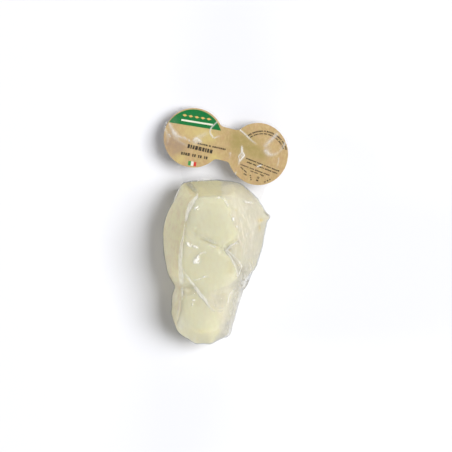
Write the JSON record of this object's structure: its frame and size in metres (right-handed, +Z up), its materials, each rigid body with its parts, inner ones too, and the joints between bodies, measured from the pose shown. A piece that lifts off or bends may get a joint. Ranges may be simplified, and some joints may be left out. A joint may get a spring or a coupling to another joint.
{
  "type": "vacuum-packed scamorza cheese with a paper tag",
  "caption": "Pear-shaped stretched-curd cheese in a clear vacuum bag, lying on its back, with a two-disc paper tag in the bag's thin tail.",
  "frame": {"origin": "under the middle of the whole object's box, on the surface it rests on", "axes": "+Y from the cheese's head towards its wide end and the tag, +X to the right seen from above, +Z up"},
  "size_m": [0.0952, 0.1754, 0.0581],
  "materials": {
    "cheese": "pale cream stretched curd, moist and faintly see-through, yellower in the middle and whiter to one side",
    "film": "clear shrunk vacuum film, glossy, whitish along its creases",
    "card": "tan kraft card with a green field and small dark marks, under clear film"
  },
  "bodies": {
    "root": {"sealed_bag": "cheese", "tag": "card"}
  },
  "joints": []
}
